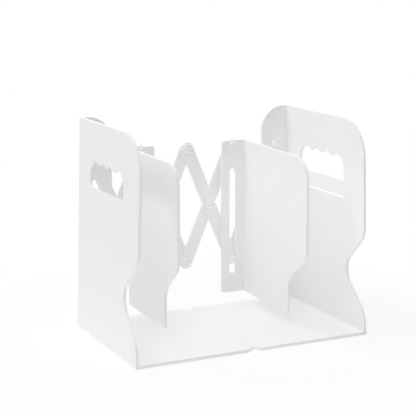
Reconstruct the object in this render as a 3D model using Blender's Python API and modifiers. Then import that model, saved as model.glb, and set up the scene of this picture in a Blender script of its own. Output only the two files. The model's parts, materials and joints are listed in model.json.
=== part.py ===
# Expandable desk bookend, closed: two end mouldings, two dividers and the
# four-cell scissor linkage that joins them behind the books.
# Metres, +Z up, X along the row of books, -Y towards the reader. The origin is on
# the desk, under the middle of the closed bookend's box.

from math import asin, atan2, ceil, cos, hypot, pi, radians, sin, tan

import bmesh
import bpy
from mathutils import Matrix, Vector

# Overall sizes of the closed bookend, and its moulded walls.
CLOSED_WIDTH = 0.2446
END_HEIGHT = 0.2100
MOULDING_DEPTH = 0.1510
WALL = 0.0028
BASE_THICKNESS = 0.0030
BASE_CORNER_RADIUS = 0.0100
END_LEAN = radians(1.8)

# Clearances and edges.
CLEARANCE = 0.0003
EDGE = 0.0004
OVERRUN = 0.0040
MESH_GRID = 0.000001

# End plate: rounded top corner and the wave cut into its front edge.
END_TOP_RADIUS = 0.0365
WAVE_UPPER_HEIGHT = 0.0986
WAVE_APEX_HEIGHT = 0.0598
WAVE_LOWER_HEIGHT = 0.0201
WAVE_DEPTH = 0.0400
WAVE_UPPER_RADIUS = 0.0190
WAVE_APEX_RADIUS = 0.0185
WAVE_LOWER_RADIUS = 0.0240

# Hand hole with finger scallops, and the shallow recess with sloping sides under it.
HAND_HOLE_WIDTH = 0.0850
HAND_HOLE_HEIGHT = 0.0255
HAND_HOLE_BELOW_TOP = 0.0371
HAND_HOLE_SETBACK = 0.0030
HAND_HOLE_LOW_RADIUS = 0.0030
HAND_HOLE_HIGH_RADIUS = 0.0140
FINGERS = 4
FINGER_RISE = 0.0030
FINGER_TROUGH_RADIUS = 0.0050
RECESS_HEIGHT = 0.0172
RECESS_DEPTH = 0.0016
RECESS_MARGIN = 0.0006

# Rear flange of an end moulding, which stops short of the crossing rivet's head.
END_FLANGE_TO_CROSSING = 0.00295
END_FLANGE_TOP_FLAT = 0.0063

# Divider: plate with a stepped front edge, and its rear flange.
DIVIDER_ABOVE_PIVOT = 0.0060
DIVIDER_BOTTOM = 0.0155
DIVIDER_SETBACK = 0.0205
DIVIDER_TOP_RADIUS = 0.0220
STEP_UPPER_HEIGHT = 0.0800
STEP_LOWER_HEIGHT = 0.0525
STEP_DEPTH = 0.0340
STEP_UPPER_RADIUS = 0.0180
STEP_LOWER_RADIUS = 0.0240
DIVIDER_TOE_RADIUS = 0.0020
DIVIDER_FLANGE_TO_CROSSING = 0.00725
DIVIDER_PLATE_TO_CROSSING = 0.00415
DIVIDER_FLANGE_RADIUS = 0.0030

# How far the plate of each divider, as photographed, stands out and droops towards its front edge.
LEFT_SPLAY = radians(2.2)
LEFT_DROOP = radians(-0.5)
RIGHT_SPLAY = radians(0.4)
RIGHT_DROOP = radians(1.2)

# Scissor linkage: columns of pivots at an equal pitch, the outer ones at the end plates.
CELLS = 4
END_PIVOT_INSET = 0.0213
TOP_PIVOT_DROP = 0.0390
LOW_PIVOT_HEIGHT = 0.0512
OPEN_HALF_ANGLE = radians(77.8)
BAR_WIDTH = 0.0135
BAR_THICKNESS = 0.0030
SLOT_PLAY = 0.00045
SLOT_SLACK_BELOW = 0.0124
SLOT_SLACK_ABOVE = 0.0010

# Layers behind the flanges, counted from the front, of the bars in each cell.
FALLING_LAYERS = (2, 2, 0, 0)
RISING_LAYERS = (1, 1, 1, 1)

# Rivets and the caps pressed onto their rear ends.
PIN_RADIUS = 0.0032
PIN_TIP_CHAMFER = 0.0004
HEAD_RADIUS = 0.0053
HEAD_HEIGHT = 0.0018
HEAD_RIM_HEIGHT = 0.0007
DIMPLE_RADIUS = 0.0022
DIMPLE_DEPTH = 0.0007
CROWN_RADIUS = 0.0034
SHOULDER_RADIUS = 0.0045
CAP_RADIUS = 0.0050
CAP_THICKNESS = 0.0020
CAP_BORE_DEPTH = 0.0012
CAP_CHAMFER = 0.0005

# Facets.
ARC_STEP = radians(15)
STEP_ROUNDING = 0.001
ROUND_SEGMENTS = 16
SHARP_ANGLE = radians(40)

# Finishes: name, base colour, roughness.
SHELL_FINISH = ("moulded white", (0.86, 0.86, 0.87, 1.0), 0.32)
BAR_FINISH = ("bar white", (0.84, 0.84, 0.85, 1.0), 0.34)
RIVET_FINISH = ("rivet white", (0.88, 0.88, 0.88, 1.0), 0.30)
CAP_FINISH = ("cap white", (0.87, 0.87, 0.87, 1.0), 0.34)

# Sizes and places that follow from the ones above.
LAYER_PITCH = BAR_THICKNESS + CLEARANCE
LAYERS = 1 + max(FALLING_LAYERS + RISING_LAYERS)
LINKAGE_DEPTH = LAYERS * LAYER_PITCH + CLEARANCE + CAP_THICKNESS
FRONT = -(MOULDING_DEPTH + LINKAGE_DEPTH) / 2
BACK = FRONT + MOULDING_DEPTH
PLATE_MIDDLE = (FRONT + BACK) / 2
HAND_HOLE_MIDDLE = PLATE_MIDDLE + HAND_HOLE_SETBACK
PIVOT_PITCH = (CLOSED_WIDTH / 2 - END_PIVOT_INSET) / (CELLS / 2)
TOP_PIVOT_HEIGHT = END_HEIGHT - TOP_PIVOT_DROP
PIVOT_SPAN = hypot(PIVOT_PITCH, TOP_PIVOT_HEIGHT - LOW_PIVOT_HEIGHT)
CLOSED_HALF_ANGLE = asin(PIVOT_PITCH / PIVOT_SPAN)
CENTRE_HEIGHT = (TOP_PIVOT_HEIGHT + LOW_PIVOT_HEIGHT) / 2
HIGHEST_SLOT_PIN = TOP_PIVOT_HEIGHT - PIVOT_SPAN * cos(OPEN_HALF_ANGLE)
SLOT_BOTTOM = LOW_PIVOT_HEIGHT - PIN_RADIUS - SLOT_SLACK_BELOW
SLOT_TOP = HIGHEST_SLOT_PIN + PIN_RADIUS + SLOT_SLACK_ABOVE
SLOT_WIDTH = 2 * (PIN_RADIUS + SLOT_PLAY)
HOLE_RADIUS = PIN_RADIUS + CLEARANCE
HAND_HOLE_TOP = END_HEIGHT - HAND_HOLE_BELOW_TOP
HAND_HOLE_BOTTOM = HAND_HOLE_TOP - HAND_HOLE_HEIGHT
LEAN_SHIFT = END_HEIGHT * tan(END_LEAN)
CROSSING_EDGE = PIVOT_PITCH / 2 - HEAD_RADIUS
END_FLANGE_WIDTH = END_PIVOT_INSET + CROSSING_EDGE - END_FLANGE_TO_CROSSING
END_FLANGE_RADIUS = END_FLANGE_WIDTH - WALL / 2 - LEAN_SHIFT - END_FLANGE_TOP_FLAT
DIVIDER_TOP = TOP_PIVOT_HEIGHT + DIVIDER_ABOVE_PIVOT
DIVIDER_DEPTH = MOULDING_DEPTH - DIVIDER_SETBACK
DIVIDER_FLANGE_REACH = CROSSING_EDGE - DIVIDER_FLANGE_TO_CROSSING
DIVIDER_PLATE_OFFSET = CROSSING_EDGE - DIVIDER_PLATE_TO_CROSSING - WALL

# A drawing plane's x, y and normal, turned onto the object's axes.
SIDE_PLANE = Matrix(((0, 0, 1, 0), (1, 0, 0, 0), (0, 1, 0, 0), (0, 0, 0, 1)))
FACE_PLANE = Matrix(((1, 0, 0, 0), (0, 0, -1, 0), (0, 1, 0, 0), (0, 0, 0, 1)))
FLOOR_PLANE = Matrix.Identity(4)


def clear_scene():
    for thing in list(bpy.data.objects):
        bpy.data.objects.remove(thing)


def new_collection(name, hidden=False):
    collection = bpy.data.collections.new(name)
    bpy.context.scene.collection.children.link(collection)
    collection.hide_render = hidden
    return collection


def material(piece_name, finish):
    """A material of the piece's own in one of the finishes."""
    finish_name, colour, roughness = finish
    made = bpy.data.materials.new(f"{piece_name} {finish_name}")
    made.use_nodes = True
    surface = made.node_tree.nodes["Principled BSDF"]
    surface.inputs["Base Color"].default_value = colour
    surface.inputs["Roughness"].default_value = roughness
    surface.inputs["Metallic"].default_value = 0
    made.diffuse_color = colour
    return made


def arc(centre, radius, start, end):
    """Points along a circle from one angle to another, ends included."""
    steps = max(2, ceil(abs(end - start) / ARC_STEP - STEP_ROUNDING))
    angles = [start + (end - start) * i / steps for i in range(steps + 1)]
    return [(centre[0] + radius * cos(a), centre[1] + radius * sin(a)) for a in angles]


def circle(centre, radius):
    angles = [2 * pi * i / ROUND_SEGMENTS for i in range(ROUND_SEGMENTS)]
    return [(centre[0] + radius * cos(a), centre[1] + radius * sin(a)) for a in angles]


def rounded(corners):
    """A closed outline through corners given as (x, y, radius), each turned into an arc."""
    outline = []
    for i, (x, y, radius) in enumerate(corners):
        corner = Vector((x, y))
        back = (Vector(corners[i - 1][:2]) - corner).normalized()
        ahead = (Vector(corners[(i + 1) % len(corners)][:2]) - corner).normalized()
        if not radius:
            outline.append((x, y))
            continue
        half = back.angle(ahead) / 2
        centre = corner + (back + ahead).normalized() * radius / sin(half)
        begins = corner + back * radius / tan(half) - centre
        ends = corner + ahead * radius / tan(half) - centre
        start = atan2(begins.y, begins.x)
        sweep = atan2(begins.cross(ends), begins.dot(ends))
        outline += arc(centre, radius, start, start + sweep)
    return outline


def without_repeats(outline):
    """The outline with each point that lies on the one before it left out."""
    kept = []
    for i, (x, y) in enumerate(outline):
        before = outline[i - 1]
        if hypot(x - before[0], y - before[1]) > MESH_GRID:
            kept.append((x, y))
    return kept


def stadium(centre, half_length, radius, lean=0.0):
    """A long hole or bar with round ends, upright, then turned by lean towards +X at its foot."""
    along = Vector((sin(lean), -cos(lean)))
    foot = Vector(centre) + along * half_length
    head = Vector(centre) - along * half_length
    facing = atan2(along.y, along.x)
    return arc(foot, radius, facing - pi / 2, facing + pi / 2) + arc(
        head, radius, facing + pi / 2, facing + 3 * pi / 2
    )


def finished(mesh, surface):
    """Welds the mesh, puts its points on a fine grid and turns its faces outwards."""
    work = bmesh.new()
    work.from_mesh(mesh)
    for vert in work.verts:
        vert.co = [round(value / MESH_GRID) * MESH_GRID for value in vert.co]
    bmesh.ops.remove_doubles(work, verts=work.verts, dist=MESH_GRID)
    bmesh.ops.recalc_face_normals(work, faces=work.faces)
    work.to_mesh(mesh)
    work.free()
    mesh.materials.clear()
    mesh.materials.append(surface)
    mesh.shade_smooth()
    mesh.set_sharp_from_angle(angle=SHARP_ANGLE)


def flat_piece(name, outlines, thickness, place, surface, collection, edge=EDGE):
    """A flat moulding: a rim and its holes drawn in a plane, given a thickness and soft edges."""
    curve = bpy.data.curves.new(name, "CURVE")
    curve.dimensions = "2D"
    curve.fill_mode = "BOTH"
    curve.extrude = thickness / 2 - edge
    curve.bevel_depth = edge
    curve.bevel_resolution = 0
    curve.offset = -edge
    for outline in outlines:
        points = without_repeats(outline)
        spline = curve.splines.new("POLY")
        spline.points.add(len(points) - 1)
        for point, (x, y) in zip(spline.points, points):
            point.co = (x, y, 0, 1)
        spline.use_cyclic_u = True
    drawn = bpy.data.objects.new(name + "_drawing", curve)
    collection.objects.link(drawn)
    graph = bpy.context.evaluated_depsgraph_get()
    mesh = bpy.data.meshes.new_from_object(drawn.evaluated_get(graph))
    bpy.data.objects.remove(drawn)
    bpy.data.curves.remove(curve)
    mesh.name = name
    mesh.transform(place)
    finished(mesh, surface)
    piece = bpy.data.objects.new(name, mesh)
    collection.objects.link(piece)
    return piece


def helper(piece):
    """Marks a piece as one that only takes part in Booleans."""
    piece.hide_render = True
    piece.display_type = "WIRE"
    return piece


def combine(piece, other, operation):
    change = piece.modifiers.new(operation.lower() + " " + other.name, "BOOLEAN")
    change.operation = operation
    change.object = other
    change.solver = "EXACT"


def move_origin(piece, origin):
    """Puts the object's origin on a joint's axis and leaves its shape where it is."""
    piece.data.transform(Matrix.Translation(-origin))
    piece.location = origin


def column(number):
    """X of a column of pivots, counted from the left end."""
    return (number - CELLS / 2) * PIVOT_PITCH


def layer_front(layer):
    return BACK + CLEARANCE + layer * LAYER_PITCH


def leaning(side):
    """The shear that leans an end plate inwards towards its top."""
    lean = Matrix.Identity(4)
    lean[0][2] = -side * tan(END_LEAN)
    return lean


def hanging(side, splay, droop):
    """The shear by which a divider's plate stands out and droops towards its front edge."""
    hang = Matrix.Identity(4)
    hang[0][1] = -side * tan(splay)
    hang[2][1] = tan(droop)
    rear_edge = Matrix.Translation((0, BACK, 0))
    return rear_edge @ hang @ rear_edge.inverted()


def end_plate_outline():
    return rounded(
        [
            (BACK, 0, 0),
            (BACK, END_HEIGHT, 0),
            (FRONT, END_HEIGHT, END_TOP_RADIUS),
            (FRONT, WAVE_UPPER_HEIGHT, WAVE_UPPER_RADIUS),
            (FRONT + WAVE_DEPTH, WAVE_APEX_HEIGHT, WAVE_APEX_RADIUS),
            (FRONT, WAVE_LOWER_HEIGHT, WAVE_LOWER_RADIUS),
            (FRONT, 0, 0),
        ]
    )


def hand_hole_outline():
    """Flat sill, round upper corners and a scalloped top edge for the fingers."""
    half = HAND_HOLE_WIDTH / 2
    low = HAND_HOLE_LOW_RADIUS
    high = HAND_HOLE_HIGH_RADIUS
    first_crest = half - high
    pitch = 2 * first_crest / (FINGERS - 1)
    both_radii = ((pitch / 2) ** 2 + FINGER_RISE**2) / (2 * FINGER_RISE)
    spread = asin(pitch / 2 / both_radii)
    scallop = both_radii - FINGER_TROUGH_RADIUS
    sill = HAND_HOLE_BOTTOM + low
    shoulder = HAND_HOLE_TOP - high
    middle = HAND_HOLE_MIDDLE
    outline = arc((middle - half + low, sill), low, pi, 3 * pi / 2)
    outline += arc((middle + half - low, sill), low, 3 * pi / 2, 2 * pi)
    outline += arc((middle + first_crest, shoulder), high, 0, pi / 2)
    for finger in range(FINGERS - 1):
        crest = middle + first_crest - finger * pitch
        height = HAND_HOLE_TOP - scallop
        trough = (crest - pitch / 2, HAND_HOLE_TOP - FINGER_RISE + FINGER_TROUGH_RADIUS)
        outline += arc((crest, height), scallop, pi / 2, pi / 2 + spread)
        outline += arc(trough, FINGER_TROUGH_RADIUS, spread - pi / 2, -spread - pi / 2)
        outline += arc((crest - pitch, height), scallop, pi / 2 - spread, pi / 2)
    outline += arc((middle - first_crest, shoulder), high, pi / 2, pi)
    return outline


def pivot_openings(x):
    """The pivot hole and the slot in a flange, for the column of pivots at x."""
    half_travel = (SLOT_TOP - SLOT_BOTTOM - SLOT_WIDTH) / 2
    slot = stadium((x, (SLOT_TOP + SLOT_BOTTOM) / 2), half_travel, SLOT_WIDTH / 2)
    return [circle((x, TOP_PIVOT_HEIGHT), HOLE_RADIUS), slot]


def end_moulding(name, side, parts, cutters):
    """Base half, end plate and rear flange in one moulding; side is -1 left, 1 right."""
    surface = material(name, SHELL_FINISH)
    outer = CLOSED_WIDTH / 2
    wall_middle = outer - WALL / 2
    plate = flat_piece(
        name,
        [end_plate_outline(), hand_hole_outline()],
        WALL,
        leaning(side) @ Matrix.Translation((side * wall_middle, 0, 0)) @ SIDE_PLANE,
        surface,
        parts,
    )
    base_outline = rounded(
        [
            (side * CLEARANCE / 2, FRONT, BASE_CORNER_RADIUS),
            (side * wall_middle, FRONT, 0),
            (side * wall_middle, BACK, 0),
            (side * CLEARANCE / 2, BACK, BASE_CORNER_RADIUS),
        ]
    )
    base = flat_piece(
        name + "_base",
        [base_outline],
        BASE_THICKNESS,
        Matrix.Translation((0, 0, BASE_THICKNESS / 2)) @ FLOOR_PLANE,
        surface,
        cutters,
    )
    pivot = side * (CELLS / 2) * PIVOT_PITCH
    flange_outline = rounded(
        [
            (side * (outer - END_FLANGE_WIDTH), BASE_THICKNESS / 2, 0),
            (side * wall_middle, BASE_THICKNESS / 2, 0),
            (side * (wall_middle - LEAN_SHIFT), END_HEIGHT, 0),
            (side * (outer - END_FLANGE_WIDTH), END_HEIGHT, END_FLANGE_RADIUS),
        ]
    )
    flange = flat_piece(
        name + "_flange",
        [flange_outline] + pivot_openings(pivot),
        WALL,
        Matrix.Translation((0, BACK - WALL / 2, 0)) @ FACE_PLANE,
        surface,
        cutters,
    )
    half = HAND_HOLE_WIDTH / 2 - RECESS_MARGIN
    recess_outline = rounded(
        [
            (HAND_HOLE_MIDDLE - half, HAND_HOLE_BOTTOM - RECESS_HEIGHT, 0),
            (HAND_HOLE_MIDDLE + half, HAND_HOLE_BOTTOM - RECESS_HEIGHT, 0),
            (HAND_HOLE_MIDDLE + half, HAND_HOLE_BOTTOM + OVERRUN, 0),
            (HAND_HOLE_MIDDLE - half, HAND_HOLE_BOTTOM + OVERRUN, 0),
        ]
    )
    recess_x = outer - WALL + (RECESS_DEPTH - OVERRUN) / 2
    recess = flat_piece(
        name + "_recess",
        [recess_outline],
        RECESS_DEPTH + OVERRUN,
        leaning(side) @ Matrix.Translation((side * recess_x, 0, 0)) @ SIDE_PLANE,
        surface,
        cutters,
        edge=RECESS_DEPTH,
    )
    combine(plate, helper(base), "UNION")
    combine(plate, helper(flange), "UNION")
    combine(plate, helper(recess), "DIFFERENCE")
    return plate


def divider(name, side, splay, droop, parts, cutters):
    """Plate with a stepped front edge, and the flange that carries it; side is -1 left, 1 right."""
    surface = material(name, SHELL_FINISH)
    front = BACK - DIVIDER_DEPTH
    pivot = side * PIVOT_PITCH
    plate_x = pivot + side * (DIVIDER_PLATE_OFFSET + WALL / 2)
    plate_outline = rounded(
        [
            (BACK, DIVIDER_BOTTOM, 0),
            (BACK, DIVIDER_TOP, 0),
            (front, DIVIDER_TOP, DIVIDER_TOP_RADIUS),
            (front, STEP_UPPER_HEIGHT, STEP_UPPER_RADIUS),
            (front + STEP_DEPTH, STEP_LOWER_HEIGHT, STEP_LOWER_RADIUS),
            (front + STEP_DEPTH, DIVIDER_BOTTOM, DIVIDER_TOE_RADIUS),
        ]
    )
    plate = flat_piece(
        name,
        [plate_outline],
        WALL,
        hanging(side, splay, droop) @ Matrix.Translation((plate_x, 0, 0)) @ SIDE_PLANE,
        surface,
        parts,
    )
    free_edge = pivot - side * DIVIDER_FLANGE_REACH
    flange_outline = rounded(
        [
            (free_edge, DIVIDER_BOTTOM, DIVIDER_FLANGE_RADIUS),
            (plate_x, DIVIDER_BOTTOM, 0),
            (plate_x, DIVIDER_TOP, 0),
            (free_edge, DIVIDER_TOP, DIVIDER_FLANGE_RADIUS),
        ]
    )
    flange = flat_piece(
        name + "_flange",
        [flange_outline] + pivot_openings(pivot),
        WALL,
        Matrix.Translation((0, BACK - WALL / 2, 0)) @ FACE_PLANE,
        surface,
        cutters,
    )
    combine(plate, helper(flange), "UNION")
    return plate


def bar(name, cell, rising, layer, parts):
    """A flat bar with round ends and three pivot holes, in its closed position."""
    lean = -CLOSED_HALF_ANGLE if rising else CLOSED_HALF_ANGLE
    centre = Vector(((column(cell - 1) + column(cell)) / 2, CENTRE_HEIGHT))
    along = Vector((sin(lean), -cos(lean)))
    outlines = [stadium(centre, PIVOT_SPAN / 2, BAR_WIDTH / 2, lean)]
    for share in (-1, 0, 1):
        outlines.append(circle(centre + along * share * PIVOT_SPAN / 2, HOLE_RADIUS))
    middle = layer_front(layer) + BAR_THICKNESS / 2
    return flat_piece(
        name,
        outlines,
        BAR_THICKNESS,
        Matrix.Translation((0, middle, 0)) @ FACE_PLANE,
        material(name, BAR_FINISH),
        parts,
    )


def turned(name, profile, place, finish, parts):
    """A piece turned about its own Z from an (r, z) profile, then laid along Y, head to the front."""
    mesh = bpy.data.meshes.new(name)
    points = [(r, 0, z) for r, z in profile]
    mesh.from_pydata(points, [(i, i + 1) for i in range(len(points) - 1)], [])
    piece = bpy.data.objects.new(name, mesh)
    parts.objects.link(piece)
    screw = piece.modifiers.new("turn", "SCREW")
    screw.steps = ROUND_SEGMENTS
    screw.render_steps = ROUND_SEGMENTS
    screw.use_merge_vertices = True
    screw.merge_threshold = MESH_GRID
    screw.use_smooth_shade = True
    mesh.materials.append(material(name, finish))
    piece.location = place
    piece.rotation_euler = (pi / 2, 0, 0)
    return piece


def rivet(name, x, z, through_flange, layers, parts):
    """A domed rivet through a flange, or through bars alone, with a cap on its rear end."""
    seat = BACK - WALL if through_flange else layer_front(layers[0])
    seat -= CLEARANCE
    first_bar = layer_front(layers[0])
    shoulder = first_bar - CLEARANCE - seat if through_flange and layers[0] else 0
    rear = layer_front(layers[-1]) + BAR_THICKNESS + CLEARANCE
    tip = rear + CAP_BORE_DEPTH - CLEARANCE - seat
    profile = [
        (0, HEAD_HEIGHT - DIMPLE_DEPTH),
        (DIMPLE_RADIUS, HEAD_HEIGHT),
        (CROWN_RADIUS, HEAD_HEIGHT),
        (HEAD_RADIUS, HEAD_RIM_HEIGHT),
        (HEAD_RADIUS, 0),
    ]
    if shoulder:
        collar = shoulder - WALL - 2 * CLEARANCE
        profile += [
            (PIN_RADIUS, 0),
            (PIN_RADIUS, -(WALL + 2 * CLEARANCE)),
            (SHOULDER_RADIUS, -(WALL + 2 * CLEARANCE)),
            (SHOULDER_RADIUS, -(WALL + 2 * CLEARANCE + collar)),
            (PIN_RADIUS, -(WALL + 2 * CLEARANCE + collar)),
        ]
    else:
        profile += [(PIN_RADIUS, 0)]
    profile += [
        (PIN_RADIUS, -(tip - PIN_TIP_CHAMFER)),
        (PIN_RADIUS - PIN_TIP_CHAMFER, -tip),
        (0, -tip),
    ]
    turned("rivet_" + name, profile, (x, seat, z), RIVET_FINISH, parts)
    cup = [
        (0, -CAP_BORE_DEPTH),
        (HOLE_RADIUS, -CAP_BORE_DEPTH),
        (HOLE_RADIUS, 0),
        (CAP_RADIUS, 0),
        (CAP_RADIUS, CAP_CHAMFER - CAP_THICKNESS),
        (CAP_RADIUS - CAP_CHAMFER, -CAP_THICKNESS),
        (0, -CAP_THICKNESS),
    ]
    turned("cap_" + name, cup, (x, rear, z), CAP_FINISH, parts)


def build_linkage(parts):
    """The eight bars, each with its origin on the pivot that its joint turns about."""
    for cell in range(1, CELLS + 1):
        layer = FALLING_LAYERS[cell - 1]
        made = bar(f"bar_falling_{cell}", cell, False, layer, parts)
        move_origin(made, Vector((column(cell - 1), layer_front(layer), TOP_PIVOT_HEIGHT)))
        layer = RISING_LAYERS[cell - 1]
        made = bar(f"bar_rising_{cell}", cell, True, layer, parts)
        centre = (column(cell - 1) + column(cell)) / 2
        move_origin(made, Vector((centre, layer_front(layer), CENTRE_HEIGHT)))


def build_rivets(parts):
    """One rivet at each end of each column of pivots, and one at each cell's crossing."""
    columns = ("left_end", "left_divider", "middle", "right_divider", "right_end")
    for number, place in enumerate(columns):
        top = []
        low = []
        if number < CELLS:
            top.append(FALLING_LAYERS[number])
            low.append(RISING_LAYERS[number])
        if number > 0:
            top.append(RISING_LAYERS[number - 1])
            low.append(FALLING_LAYERS[number - 1])
        flange = place != "middle"
        x = column(number)
        rivet(place + "_top", x, TOP_PIVOT_HEIGHT, flange, sorted(top), parts)
        rivet(place + "_low", x, LOW_PIVOT_HEIGHT, flange, sorted(low), parts)
    for cell in range(CELLS):
        x = (column(cell) + column(cell + 1)) / 2
        layers = sorted((FALLING_LAYERS[cell], RISING_LAYERS[cell]))
        rivet(f"cross_{cell + 1}", x, CENTRE_HEIGHT, False, layers, parts)


def main():
    clear_scene()
    parts = new_collection("expandable_bookend")
    cutters = new_collection("cutters", hidden=True)
    end_moulding("left_end", -1, parts, cutters)
    right_end = end_moulding("right_end", 1, parts, cutters)
    left_divider = divider("left_divider", -1, LEFT_SPLAY, LEFT_DROOP, parts, cutters)
    right_divider = divider("right_divider", 1, RIGHT_SPLAY, RIGHT_DROOP, parts, cutters)
    for piece, number in ((left_divider, 1), (right_divider, CELLS - 1), (right_end, CELLS)):
        move_origin(piece, Vector((column(number), BACK, TOP_PIVOT_HEIGHT)))
    build_linkage(parts)
    build_rivets(parts)


main()
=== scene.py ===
import json
from math import asin, ceil, hypot, pi, radians, sqrt, tan

import bmesh
import bpy
from mathutils import Matrix, Vector

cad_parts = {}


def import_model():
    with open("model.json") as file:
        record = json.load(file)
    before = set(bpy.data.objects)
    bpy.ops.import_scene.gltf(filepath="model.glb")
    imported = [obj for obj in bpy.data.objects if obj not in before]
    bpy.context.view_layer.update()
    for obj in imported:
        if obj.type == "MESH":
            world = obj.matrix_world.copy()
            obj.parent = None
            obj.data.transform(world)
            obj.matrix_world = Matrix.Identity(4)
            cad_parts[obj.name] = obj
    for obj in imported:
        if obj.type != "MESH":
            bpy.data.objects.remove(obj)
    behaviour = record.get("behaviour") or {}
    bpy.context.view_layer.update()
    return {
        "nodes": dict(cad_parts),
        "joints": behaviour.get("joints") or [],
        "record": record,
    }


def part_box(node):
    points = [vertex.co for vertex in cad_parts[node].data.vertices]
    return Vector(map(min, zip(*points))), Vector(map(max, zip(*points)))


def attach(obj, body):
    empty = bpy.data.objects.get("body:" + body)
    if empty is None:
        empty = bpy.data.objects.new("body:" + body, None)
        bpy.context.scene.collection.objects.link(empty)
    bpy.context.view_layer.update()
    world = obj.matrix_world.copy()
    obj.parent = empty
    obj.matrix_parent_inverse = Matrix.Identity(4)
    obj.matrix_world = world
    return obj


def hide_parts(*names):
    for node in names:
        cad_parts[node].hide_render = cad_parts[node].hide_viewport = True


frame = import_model()
nodes = frame["nodes"]
print("frame loaded:", len(nodes), "nodes")


# A socket that can be used in sums, so that shader maths reads as Python
class Wire:
    def __init__(self, tree, socket):
        self.tree = tree
        self.socket = socket

    def node(self, kind, settings=None, values=None, output=0):
        made = self.tree.nodes.new(kind)
        for name, value in (settings or {}).items():
            setattr(made, name, value)
        for name, value in (values or {}).items():
            if isinstance(value, Wire):
                self.tree.links.new(value.socket, made.inputs[name])
            else:
                made.inputs[name].default_value = value
        return Wire(self.tree, made.outputs[output])

    def maths(self, operation, first, second):
        return self.node("ShaderNodeMath", {"operation": operation}, {0: first, 1: second})

    def __add__(self, other):
        return self.maths("ADD", self, other)

    def __sub__(self, other):
        return self.maths("SUBTRACT", self, other)

    def __rsub__(self, other):
        return self.maths("SUBTRACT", other, self)

    def __mul__(self, other):
        return self.maths("MULTIPLY", self, other)

    __radd__ = __add__
    __rmul__ = __mul__

    def limited(self):
        return self.node("ShaderNodeClamp", values={"Value": self})


mouldedWhite = {
    "colour": (0.940, 0.935, 0.941, 1),
    "deeper": (0.930, 0.924, 0.931, 1),     # where the resin ran a little thicker
    "roughness": 0.30,
    "roughnessSwing": 0.06,
    "cloudScale": 14,       # cloudy change over some 7 cm
    "grainScale": 1500,     # fine texture of the mould's steel
    "grain": 0.003,
    "rippleScale": 55,      # slow sink of a flat moulded wall
    "ripple": 0.35,
}
barWhite = {
    "colour": (0.955, 0.952, 0.955, 1),
    "deeper": (0.938, 0.934, 0.938, 1),
    "roughness": 0.34,
    "roughnessSwing": 0.12,
    "cloudScale": 30,
    "grainScale": 1800,
    "grain": 0.012,
    "rippleScale": 120,
    "ripple": 0.20,
}
rivetWhite = {
    "colour": (0.950, 0.947, 0.950, 1),
    "deeper": (0.930, 0.926, 0.930, 1),
    "roughness": 0.24,
    "roughnessSwing": 0.08,
    "cloudScale": 160,
    "grainScale": 2400,
    "grain": 0.010,
    "rippleScale": 300,
    "ripple": 0.10,
}
capWhite = {
    "colour": (0.938, 0.934, 0.938, 1),
    "deeper": (0.912, 0.908, 0.912, 1),
    "roughness": 0.36,
    "roughnessSwing": 0.10,
    "cloudScale": 140,
    "grainScale": 1600,
    "grain": 0.016,
    "rippleScale": 260,
    "ripple": 0.12,
}
# what the four finishes share
surfaceLook = {
    "ior": 1.5,
    "cloudDetail": 3.0,
    "grainDetail": 2.0,
    "rippleDetail": 1.0,
    "bump": 0.12,
    "bumpDepth": 0.0006,
}


def plastic(name, look, shared=surfaceLook):
    made = bpy.data.materials.new(name)
    made.use_nodes = True
    tree = made.node_tree
    surface = tree.nodes["Principled BSDF"]
    place = Wire(tree, tree.nodes.new("ShaderNodeTexCoord").outputs["Object"])

    def noise(part):
        return place.node("ShaderNodeTexNoise", {}, {
            "Vector": place, "Scale": look[part + "Scale"], "Detail": shared[part + "Detail"]})

    cloud, grain, ripple = noise("cloud"), noise("grain"), noise("ripple")
    tint = place.node("ShaderNodeMix", {"data_type": "RGBA"}, {0: cloud, 6: look["colour"], 7: look["deeper"]}, 2)
    rough = (cloud - 0.5) * look["roughnessSwing"] + (grain - 0.5) * look["roughnessSwing"] + look["roughness"]
    relief = grain * look["grain"] + ripple * look["ripple"]
    bump = place.node("ShaderNodeBump", {}, {
        "Strength": shared["bump"], "Distance": shared["bumpDepth"], "Height": relief})
    tree.links.new(tint.socket, surface.inputs["Base Color"])
    tree.links.new(rough.socket, surface.inputs["Roughness"])
    tree.links.new(bump.socket, surface.inputs["Normal"])
    surface.inputs["IOR"].default_value = shared["ior"]
    return made


white = plastic("moulded white", mouldedWhite)
barPlastic = plastic("bar white", barWhite)
rivetPlastic = plastic("rivet white", rivetWhite)
capPlastic = plastic("cap white", capWhite)
print("materials made")

# A drawing's x, y and normal, turned onto the object's axes
sidePlane = Matrix(((0, 0, 1, 0), (1, 0, 0, 0), (0, 1, 0, 0), (0, 0, 0, 1)))
facePlane = Matrix(((1, 0, 0, 0), (0, 0, -1, 0), (0, 1, 0, 0), (0, 0, 0, 1)))
tiny = 0.000002
arcStep = radians(6)            # one facet of a rounded corner
flatAngle = radians(0.2)        # faces flatter than this are joined
insideAngle = radians(60)       # inside corners sharper than this are filleted
edgeAngle = radians(32)         # outer edges sharper than this are broken
shadeAngle = radians(35)        # edges sharper than this shade as edges
turnedShadeAngle = radians(38)
filletSegments = 5
edgeSegments = 3
boreSides = 48
turnedSides = 40


def only(piece):
    bpy.ops.object.select_all(action="DESELECT")
    piece.select_set(True)
    bpy.context.view_layer.objects.active = piece


def editing(piece, mode):
    only(piece)
    bpy.ops.object.mode_set(mode="EDIT")
    bpy.ops.mesh.select_mode(type=mode)
    bpy.ops.mesh.select_all(action="DESELECT")
    return bmesh.from_edit_mesh(piece.data)


def pick(piece, work, parts):
    # selects these verts, edges or faces and nothing else
    bpy.ops.mesh.select_all(action="DESELECT")
    for part in parts:
        part.select_set(True)
    work.select_flush_mode()
    bmesh.update_edit_mesh(piece.data)


def applied(piece, kind, **settings):
    only(piece)
    change = piece.modifiers.new(kind.lower(), kind)
    for name, value in settings.items():
        setattr(change, name, value)
    bpy.ops.object.modifier_apply(modifier=change.name)


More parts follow.
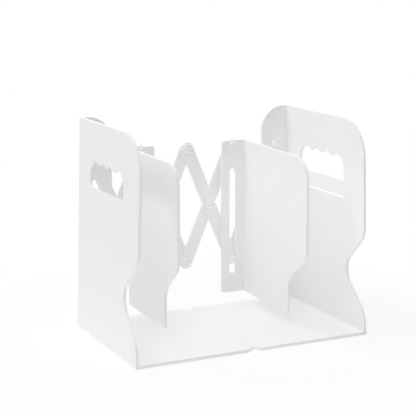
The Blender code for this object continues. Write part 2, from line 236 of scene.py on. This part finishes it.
def drawing(name, corners):
    # a flat face through (x, y, radius) corners, each radius rounded off
    bpy.ops.object.select_all(action="DESELECT")
    bpy.ops.mesh.primitive_plane_add(size=1)
    piece = bpy.context.object
    piece.name = name
    work = editing(piece, "EDGE")
    if len(corners) > 4:
        work.edges.ensure_lookup_table()
        pick(piece, work, [work.edges[0]])
        bpy.ops.mesh.subdivide(number_cuts=len(corners) - 4)
        work = bmesh.from_edit_mesh(piece.data)
    work.faces.ensure_lookup_table()
    for loop, (x, y, radius) in zip(work.faces[0].loops, corners):
        loop.vert.co = (x, y, 0)
    bmesh.update_edit_mesh(piece.data)
    bpy.ops.mesh.select_mode(type="VERT")
    for i, (x, y, radius) in enumerate(corners):
        if not radius:
            continue
        corner = Vector((x, y))
        back = Vector(corners[i - 1][:2]) - corner
        ahead = Vector(corners[(i + 1) % len(corners)][:2]) - corner
        half = back.angle(ahead) / 2
        work = bmesh.from_edit_mesh(piece.data)
        pick(piece, work, [min(work.verts, key=lambda v: (v.co.xy - corner).length)])
        bpy.ops.mesh.bevel(affect="VERTICES", offset=radius / tan(half), clamp_overlap=False,
                           segments=max(2, ceil((pi - 2 * half) / arcStep)))
    bpy.ops.mesh.select_all(action="SELECT")
    bpy.ops.mesh.remove_doubles(threshold=tiny)
    bpy.ops.object.mode_set(mode="OBJECT")
    return piece


def slab(name, corners, thickness, place):
    piece = drawing(name, corners)
    applied(piece, "SOLIDIFY", thickness=thickness, offset=0)
    piece.data.transform(place)
    return piece


def combined(piece, other, operation):
    applied(piece, "BOOLEAN", operation=operation, object=other, solver="EXACT")
    bpy.data.objects.remove(other)


def bore(piece, x, z, radius, front, back):
    # drills a round hole along Y
    bpy.ops.object.select_all(action="DESELECT")
    bpy.ops.mesh.primitive_cylinder_add(vertices=boreSides, radius=radius, depth=back - front,
                                        location=(x, (front + back) / 2, z), rotation=(pi / 2, 0, 0))
    drill = bpy.context.object
    bpy.ops.object.transform_apply(location=True, rotation=True, scale=True)
    combined(piece, drill, "DIFFERENCE")


def filleted(piece, radius, wanted):
    # rounds the inside corners whose middle passes the test
    work = editing(piece, "EDGE")
    inside = [e for e in work.edges if len(e.link_faces) == 2 and not e.is_convex
              and e.calc_face_angle() > insideAngle and wanted((e.verts[0].co + e.verts[1].co) / 2)]
    pick(piece, work, inside)
    bpy.ops.mesh.bevel(affect="EDGES", offset=radius, segments=filletSegments, clamp_overlap=False)
    bpy.ops.object.mode_set(mode="OBJECT")


def bevelled(piece, width):
    # breaks the sharp outer edges
    editing(piece, "VERT")
    bpy.ops.mesh.select_all(action="SELECT")
    bpy.ops.mesh.remove_doubles(threshold=tiny)
    bpy.ops.mesh.dissolve_limited(angle_limit=flatAngle)
    bpy.ops.object.mode_set(mode="OBJECT")
    applied(piece, "BEVEL", width=width, segments=edgeSegments, limit_method="ANGLE", angle_limit=edgeAngle,
            use_clamp_overlap=False, miter_outer="MITER_ARC")


def smoothed(piece):
    # smooth curves beside flats that stay flat
    only(piece)
    bpy.ops.object.shade_smooth_by_angle(angle=shadeAngle)
    applied(piece, "WEIGHTED_NORMAL", keep_sharp=True, weight=100)


def softened(piece, width):
    bevelled(piece, width)
    smoothed(piece)


def finished(piece, name, body, replaced, look):
    piece.name = name
    piece.data.name = name
    piece.data.materials.clear()
    piece.data.materials.append(look)
    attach(piece, body)
    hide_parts(*replaced)


pivots = {j["child"]: Vector(j["pos_m"]) for j in frame["joints"]}
topPivot = pivots["bar_falling_1"].z
crossHeight = pivots["bar_rising_1"].z
lowPivot = 2 * crossHeight - topPivot
columns = {"left_end": pivots["bar_falling_1"].x, "left_divider": pivots["left_divider"].x,
           "right_divider": pivots["right_divider"].x, "right_end": pivots["right_end"].x}
cellWidth = columns["left_divider"] - columns["left_end"]
barSpan = hypot(cellWidth, topPivot - lowPivot)     # between a bar's outer holes
endLow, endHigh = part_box("left_end")
endFront, endBack, endHeight = endLow.y, endHigh.y, endHigh.z
outerX = -endLow.x
endMiddle = (endFront + endBack) / 2

opening = {
    "pinHole": 0.0035,
    "slotWidth": 0.0073,
    "slotBottom": 0.0356,
    "slotTop": 0.1478,
}


def pivotOpenings(piece, x, front, back, look):
    # the hole for the fixed pivot and the slot in which the lower one slides
    bore(piece, x, topPivot, look["pinHole"], front, back)
    half = look["slotWidth"] / 2
    sides = [(x - half, look["slotBottom"], half), (x + half, look["slotBottom"], half),
             (x + half, look["slotTop"], half), (x - half, look["slotTop"], half)]
    cut = slab("slot_cut", sides, back - front, Matrix.Translation((0, (front + back) / 2, 0)) @ facePlane)
    combined(piece, cut, "DIFFERENCE")


endShape = {
    "wall": 0.0028,
    "base": 0.0030,
    "baseCorner": 0.0100,
    "seam": 0.00015,
    "lean": 1.8,
    "topCorner": 0.0365,
    # the wave in the front edge: height, depth from the front, radius
    "wave": ((0.0986, 0, 0.0190), (0.0598, 0.0400, 0.0185), (0.0201, 0, 0.0240)),
    "flangeWidth": 0.0383,
    "flangeCorner": 0.0240,
    "insideRadius": 0.0014,
    "edge": 0.0003,
}
handHole = {
    "width": 0.0850,
    "bottom": 0.1474,
    "top": 0.1729,
    "setback": 0.0030,
    "lowCorner": 0.0030,
    "highCorner": 0.0140,
    "fingers": 4,
    "steps": 18,            # facets from one finger to the next
    "rise": 0.0030,
    "trough": 0.0050,       # radius between two fingers
    "ledge": 0.0172,        # the thinned strip under the hole, with sloping sides
    "ledgeDepth": 0.0016,
    "ledgeInset": 0.0006,
}


def handHoleCut(look, depth, place):
    half, high, middle = look["width"] / 2, look["highCorner"], endMiddle + look["setback"]
    piece = drawing("hand_hole_cut", [
        (middle - half, look["bottom"], look["lowCorner"]), (middle + half, look["bottom"], look["lowCorner"]),
        (middle + half, look["top"], high), (middle - half, look["top"], high)])
    work = editing(piece, "EDGE")
    top = [e for e in work.edges if all(abs(v.co.y - look["top"]) < tiny for v in e.verts)]
    pick(piece, work, top)
    bpy.ops.mesh.subdivide(number_cuts=look["steps"] * (look["fingers"] - 1) - 1)
    work = bmesh.from_edit_mesh(piece.data)
    # the top edge waves from finger to finger in arcs that touch, their two radii together being both
    reach = half - high
    pitch = 2 * reach / (look["fingers"] - 1)
    both = (pitch ** 2 / 4 + look["rise"] ** 2) / (2 * look["rise"])
    trough = look["trough"]
    crest = both - trough
    for vert in work.verts:
        across = vert.co.x - middle
        if abs(vert.co.y - look["top"]) < tiny and abs(across) < reach:
            fromCrest = abs((across + reach + pitch / 2) % pitch - pitch / 2)
            if fromCrest < crest * pitch / 2 / both:
                vert.co.y += sqrt(crest ** 2 - fromCrest ** 2) - crest
            else:
                vert.co.y += trough - look["rise"] - sqrt(trough ** 2 - (pitch / 2 - fromCrest) ** 2)
    bmesh.update_edit_mesh(piece.data)
    bpy.ops.object.mode_set(mode="OBJECT")
    applied(piece, "SOLIDIFY", thickness=depth, offset=0)
    piece.data.transform(place)
    return piece


def ledgeCut(look, wall, side):
    # the strip's cutter, its deep side drawn in at 45 degrees
    half, middle = look["width"] / 2 - look["ledgeInset"], endMiddle + look["setback"]
    low, high, depth = look["bottom"] - look["ledge"], look["bottom"] + wall, look["ledgeDepth"] + wall
    deep = outerX - wall + look["ledgeDepth"]
    piece = slab("strip_cut", [(middle - half, low, 0), (middle + half, low, 0),
                               (middle + half, high, 0), (middle - half, high, 0)],
                 depth, Matrix.Translation((side * (deep - depth / 2), 0, 0)) @ sidePlane)
    work = editing(piece, "EDGE")
    pick(piece, work, [e for e in work.edges if all(abs(abs(v.co.x) - deep) < tiny for v in e.verts)])
    bpy.ops.mesh.bevel(affect="EDGES", offset=look["ledgeDepth"], segments=1, clamp_overlap=False)
    bpy.ops.object.mode_set(mode="OBJECT")
    return piece


def endMoulding(side, look, hole):
    wall, lean = look["wall"], radians(look["lean"])
    middle = outerX - wall / 2
    leaning = Matrix.Identity(4)
    leaning[0][2] = -side * tan(lean)
    upright = leaning @ Matrix.Translation((side * middle, 0, 0)) @ sidePlane
    front = [(endFront + depth, height, radius) for height, depth, radius in look["wave"]]
    plate = slab("end", [(endBack, 0, 0), (endBack, endHeight, 0), (endFront, endHeight, look["topCorner"])]
                 + front + [(endFront, 0, 0)], wall, upright)
    combined(plate, handHoleCut(hole, 4 * wall, upright), "DIFFERENCE")
    strip = ledgeCut(hole, wall, side)
    strip.data.transform(leaning)
    combined(plate, strip, "DIFFERENCE")
    base = slab("base", [(side * look["seam"], endFront, look["baseCorner"]), (side * middle, endFront, 0),
                         (side * middle, endBack, 0), (side * look["seam"], endBack, look["baseCorner"])],
                look["base"], Matrix.Translation((0, 0, look["base"] / 2)))
    combined(plate, base, "UNION")
    inner = outerX - look["flangeWidth"]
    flange = slab("flange", [(side * inner, look["base"] / 2, 0), (side * middle, look["base"] / 2, 0),
                             (side * (middle - endHeight * tan(lean)), endHeight, 0),
                             (side * inner, endHeight, look["flangeCorner"])],
                  wall, Matrix.Translation((0, endBack - wall / 2, 0)) @ facePlane)
    combined(plate, flange, "UNION")
    pivotOpenings(plate, side * -columns["left_end"], endBack - 2 * wall, endBack + wall, opening)
    filleted(plate, look["insideRadius"], lambda p: p.z < look["base"] + tiny or p.y > endBack - wall - tiny)
    softened(plate, look["edge"])
    return plate


for name, side in (("left_end", -1), ("right_end", 1)):
    piece = endMoulding(side, endShape, handHole)
    finished(piece, name + "_moulding", name, [name], white)
    print(name, "modelled:", len(piece.data.polygons), "faces")

dividerShape = {
    "wall": 0.0028,
    "bottom": 0.0155,
    "top": 0.1770,
    "depth": 0.1305,
    "topCorner": 0.0220,
    # the step in the front edge: height, depth from the front, radius
    "step": ((0.0800, 0, 0.0180), (0.0525, 0.0340, 0.0240)),
    "toe": 0.0020,
    "reach": 0.0127,        # of the flange, past its pivots
    "offset": 0.0130,       # from the pivots to the plate
    "flangeCorner": 0.0030,
    "insideRadius": 0.0014,
    "edge": 0.0003,
    # how far each plate stands out and droops towards its front edge, in degrees
    "hang": {"left_divider": (2.2, -0.5), "right_divider": (0.4, 1.2)},
}


def dividerMoulding(side, x, look, hang):
    wall = look["wall"]
    front = endBack - look["depth"]
    plateX = x + side * (look["offset"] + wall / 2)
    step = [(front + depth, height, radius) for height, depth, radius in look["step"]]
    plate = slab("divider", [(endBack, look["bottom"], 0), (endBack, look["top"], 0),
                             (front, look["top"], look["topCorner"])]
                 + step + [(step[-1][0], look["bottom"], look["toe"])],
                 wall, Matrix.Translation((plateX, 0, 0)) @ sidePlane)
    free = x - side * look["reach"]
    flange = slab("flange", [(free, look["bottom"], look["flangeCorner"]), (plateX, look["bottom"], 0),
                             (plateX, look["top"], 0), (free, look["top"], look["flangeCorner"])],
                  wall, Matrix.Translation((0, endBack - wall / 2, 0)) @ facePlane)
    combined(plate, flange, "UNION")
    pivotOpenings(plate, x, endBack - 2 * wall, endBack + wall, opening)
    filleted(plate, look["insideRadius"], lambda p: p.y > endBack - wall - tiny)
    bevelled(plate, look["edge"])
    splay, droop = (tan(radians(angle)) for angle in hang)
    for vert in plate.data.vertices:
        ahead = endBack - wall - vert.co.y
        if ahead > 0:
            vert.co.x += side * splay * ahead
            vert.co.z -= droop * ahead
    smoothed(plate)
    return plate


for name, side in (("left_divider", -1), ("right_divider", 1)):
    piece = dividerMoulding(side, columns[name], dividerShape, dividerShape["hang"][name])
    finished(piece, name + "_moulding", name, [name], white)
    print(name, "modelled:", len(piece.data.polygons), "faces")

barShape = {
    "width": 0.0135,
    "thickness": 0.0030,
    "pinHole": 0.0035,
    "edge": 0.0006,
}


def scissorBar(look):
    # upright, its middle at the origin
    half, reach = look["width"] / 2, (barSpan + look["width"]) / 2
    piece = slab("bar", [(-half, -reach, half), (half, -reach, half), (half, reach, half), (-half, reach, half)],
                 look["thickness"], facePlane)
    for height in (-barSpan / 2, 0, barSpan / 2):
        bore(piece, 0, height, look["pinHole"], -look["thickness"], look["thickness"])
    softened(piece, look["edge"])
    return piece


firstBar = scissorBar(barShape)
tilt = asin(cellWidth / barSpan)
for cell in range(1, 5):
    for kind, turn in (("falling", -1), ("rising", 1)):
        name = f"bar_{kind}_{cell}"
        low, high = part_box(name)
        mesh = firstBar.data.copy()
        mesh.transform(Matrix.Translation((low + high) / 2) @ Matrix.Rotation(turn * tilt, 4, "Y"))
        piece = bpy.data.objects.new(name + "_link", mesh)
        bpy.context.scene.collection.objects.link(piece)
        finished(piece, name + "_link", name, [name], barPlastic)
bpy.data.objects.remove(firstBar)
print("eight bars placed")

rivetShape = {
    # radius, height above the seat, from the rim inwards
    "head": ((0.0053, 0), (0.0053, 0.00075), (0.0052, 0.00115), (0.0050, 0.00148), (0.0047, 0.00172),
             (0.0043, 0.0018), (0.0039, 0.00172), (0.0036, 0.00148), (0.00336, 0.0010), (0.00322, 0.0005),
             (0.00305, 0.00035), (0.00275, 0.00035), (0.00255, 0.0006), (0.0024, 0.00095), (0.0021, 0.0012),
             (0.0016, 0.00135), (0.0008, 0.0014)),
    "headHeight": 0.0018,
    "pin": 0.0032,
    "collar": 0.0045,
    # how many layers of bars the shoulder of a rivet fills
    "collars": {"left_end_top": 2, "left_end_low": 1, "left_divider_top": 1, "left_divider_low": 1,
                "right_end_top": 1},
    "tipChamfer": 0.0004,
    "layer": 0.0033,        # a bar and the gap behind it
    "gap": 0.0003,
    "wall": 0.0028,         # of the flange that the head seats on
}
capShape = {
    "radius": 0.0050,
    "bore": 0.0035,
    "boreDepth": 0.0012,
    "thickness": 0.0020,
    "round": 0.0006,
}


def turned(name, profile):
    # a disc drawn out step by step along its own axis, towards +Z
    bpy.ops.object.select_all(action="DESELECT")
    radius, height = profile[0]
    bpy.ops.mesh.primitive_circle_add(vertices=turnedSides, radius=radius, fill_type="NGON", location=(0, 0, height))
    piece = bpy.context.object
    piece.name = name
    bpy.ops.object.transform_apply(location=True, rotation=True, scale=True)
    bpy.ops.object.mode_set(mode="EDIT")
    bpy.ops.mesh.select_mode(type="FACE")
    bpy.ops.mesh.select_all(action="SELECT")
    for newRadius, newHeight in profile[1:]:
        bpy.ops.mesh.extrude_region_move(TRANSFORM_OT_translate={"value": (0, 0, newHeight - height)})
        share = newRadius / radius
        bpy.ops.transform.resize(value=(share, share, 1), center_override=(0, 0, newHeight))
        radius, height = newRadius, newHeight
    bpy.ops.mesh.select_all(action="SELECT")
    bpy.ops.mesh.remove_doubles(threshold=tiny)
    bpy.ops.mesh.normals_make_consistent(inside=False)
    bpy.ops.object.mode_set(mode="OBJECT")
    bpy.ops.object.shade_smooth_by_angle(angle=turnedShadeAngle)
    return piece


def laid(piece, x, y, z):
    # turns a piece's +Z to the front and moves it into place
    piece.data.transform(Matrix.Translation((x, y, z)) @ Matrix.Rotation(pi / 2, 4, "X"))


bodyOf = {n: body for body, members in frame["record"]["behaviour"]["bodies"].items() for n in members}
for node in sorted(nodes):
    if node.startswith("rivet_"):
        look = rivetShape
        low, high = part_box(node)
        seat = low.y + look["headHeight"]
        tip = high.y - seat
        place = node[len("rivet_"):]
        stem = [(look["pin"] - look["tipChamfer"], -tip), (look["pin"], look["tipChamfer"] - tip)]
        if place in look["collars"]:
            begin = look["wall"] + 2 * look["gap"]
            end = look["wall"] + look["gap"] + look["collars"][place] * look["layer"]
            stem += [(look["pin"], -end), (look["collar"], -end), (look["collar"], -begin), (look["pin"], -begin)]
        stem += [(look["pin"], 0)]
        piece = turned(node, stem + list(look["head"]))
        laid(piece, (low.x + high.x) / 2, seat, (low.z + high.z) / 2)
        finished(piece, node + "_turned", bodyOf[node], [node], rivetPlastic)
    elif node.startswith("cap_"):
        look = capShape
        low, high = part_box(node)
        edge, radius, thickness = look["round"], look["radius"], look["thickness"]
        piece = turned(node, [(radius - edge, -thickness), (radius - edge * 0.3, edge * 0.3 - thickness),
                              (radius, edge - thickness), (radius, -edge * 0.2), (radius - edge * 0.2, 0),
                              (look["bore"], 0), (look["bore"], -look["boreDepth"])])
        laid(piece, (low.x + high.x) / 2, low.y, (low.z + high.z) / 2)
        finished(piece, node + "_turned", bodyOf[node], [node], capPlastic)
print("rivets and caps turned")


floorLook = {
    "size": 60.0,
    "height": -0.0002,
    "colour": (0.95, 0.95, 0.95, 1),
    "roughness": 0.6,
    "gloss": 0.2,
    "shadowReach": (0.16, 0.34),    # from the middle, where the floor starts and ends turning plain white
    "whiteness": 0.7,               # share of plain white beside the object
}


def floor(look):
    bpy.ops.object.select_all(action="DESELECT")
    bpy.ops.mesh.primitive_plane_add(size=look["size"], location=(0, 0, look["height"]))
    ground = bpy.context.object
    ground.name = "floor"
    made = bpy.data.materials.new("pale floor")
    made.use_nodes = True
    tree = made.node_tree
    surface = tree.nodes["Principled BSDF"]
    surface.inputs["Base Color"].default_value = look["colour"]
    surface.inputs["Roughness"].default_value = look["roughness"]
    surface.inputs["Specular IOR Level"].default_value = look["gloss"]
    place = Wire(tree, tree.nodes.new("ShaderNodeTexCoord").outputs["Object"])
    distance = place.node("ShaderNodeVectorMath", {"operation": "LENGTH"}, {0: place}, 1)
    near, far = look["shadowReach"]
    away = distance.node("ShaderNodeMapRange", {"interpolation_type": "SMOOTHSTEP"}, {
        "Value": distance, "From Min": near, "From Max": far, "To Min": look["whiteness"], "To Max": 1.0})
    seen = Wire(tree, tree.nodes.new("ShaderNodeLightPath").outputs["Is Camera Ray"])
    plain = tree.nodes.new("ShaderNodeEmission")
    blend = tree.nodes.new("ShaderNodeMixShader")
    tree.links.new((away * seen).socket, blend.inputs[0])
    tree.links.new(surface.outputs[0], blend.inputs[1])
    tree.links.new(plain.outputs[0], blend.inputs[2])
    tree.links.new(blend.outputs[0], tree.nodes["Material Output"].inputs["Surface"])
    ground.data.materials.append(made)


floor(floorLook)

studio = {
    # soft light from each side of a white tent: towards, strength
    "tent": {
        "right": ((1, 0, 0), 0.20),
        "left": ((-1, 0, 0), 0.37),
        "back": ((0, 1, 0), 0.36),
        "front": ((0, -1, 0), 0.21),
        "top": ((0, 0, 1), 0.80),
    },
    "lampAngle": 0.5,       # radians across, which softens the shadows
    # broad lamps: from, watts per square metre, whether they cast a shadow
    "lamps": {
        "leftLamp": ((-0.8, 0, 0.55), 0.39, True),
        "backLeftLamp": ((-0.5, 0.6, 0.7), 0.18, True),
        "frontLeftLamp": ((-0.5, -0.6, 0.7), 0.33, True),
        "topFill": ((0, 0, 1), 0.49, False),
        "rightFill": ((1, 0, 0.1), 0.50, False),
    },
    # a soft box near the object, behind it and above: place, what it looks at, side, watts
    "softBox": ((-0.10, 0.18, 0.55), (0.10, 0, 0.17), 0.16, 0.35),
}


def world(look):
    made = bpy.data.worlds.new("studio")
    bpy.context.scene.world = made
    made.use_nodes = True
    tree = made.node_tree
    background = tree.nodes["Background"]
    background.inputs["Color"].default_value = (1, 1, 1, 1)
    path = tree.nodes.new("ShaderNodeLightPath")
    seen = Wire(tree, path.outputs["Is Camera Ray"])
    shine = Wire(tree, path.outputs["Is Glossy Ray"])
    through = Wire(tree, path.outputs["Is Transmission Ray"])
    plain = (seen + shine + through).limited()
    way = Wire(tree, tree.nodes.new("ShaderNodeTexCoord").outputs["Generated"])
    light = plain
    for towards, strength in look["tent"].values():
        facing = way.node("ShaderNodeVectorMath", {"operation": "DOT_PRODUCT"}, {0: way, 1: towards}, 1)
        side = facing.maths("MAXIMUM", facing, 0.0)
        light = light + (1 - plain) * side * side * strength
    tree.links.new(light.socket, background.inputs["Strength"])


def lamp(name, place, strength, shadow, angle):
    light = bpy.data.lights.new(name, "SUN")
    light.energy = strength
    light.angle = angle
    light.use_shadow = shadow
    holder = bpy.data.objects.new(name, light)
    bpy.context.scene.collection.objects.link(holder)
    holder.rotation_euler = (-Vector(place)).to_track_quat("-Z", "Y").to_euler()


def softBox(place, aim, side, watts):
    light = bpy.data.lights.new("softBox", "AREA")
    light.size = side
    light.energy = watts
    holder = bpy.data.objects.new("softBox", light)
    bpy.context.scene.collection.objects.link(holder)
    holder.location = place
    holder.rotation_euler = (Vector(aim) - Vector(place)).to_track_quat("-Z", "Y").to_euler()
    holder.visible_camera = False


world(studio)
softBox(*studio["softBox"])
for name, (place, strength, shadow) in studio["lamps"].items():
    lamp(name, place, strength, shadow, studio["lampAngle"])
print("studio lit")

view = {
    "place": (-0.5357, -1.0753, 0.3677),   # from the middle of the end plates' depth
    "tiltDown": 11.49,
    "turn": -25.9,
    "lens": 109.16,
    "sensor": 36,
}


def camera(look):
    low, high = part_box("left_end")
    data = bpy.data.cameras.new("camera")
    data.sensor_width = look["sensor"]
    data.lens = look["lens"]
    holder = bpy.data.objects.new("camera", data)
    bpy.context.scene.collection.objects.link(holder)
    holder.location = Vector(look["place"]) + Vector((0, (low.y + high.y) / 2, 0))
    holder.rotation_euler = (radians(90 - look["tiltDown"]), 0, radians(look["turn"]))
    bpy.context.scene.camera = holder


camera(view)
bpy.context.scene.view_settings.view_transform = "Standard"
bpy.context.scene.cycles.max_bounces = 16
bpy.context.scene.cycles.diffuse_bounces = 12   # pale walls pass light on many times
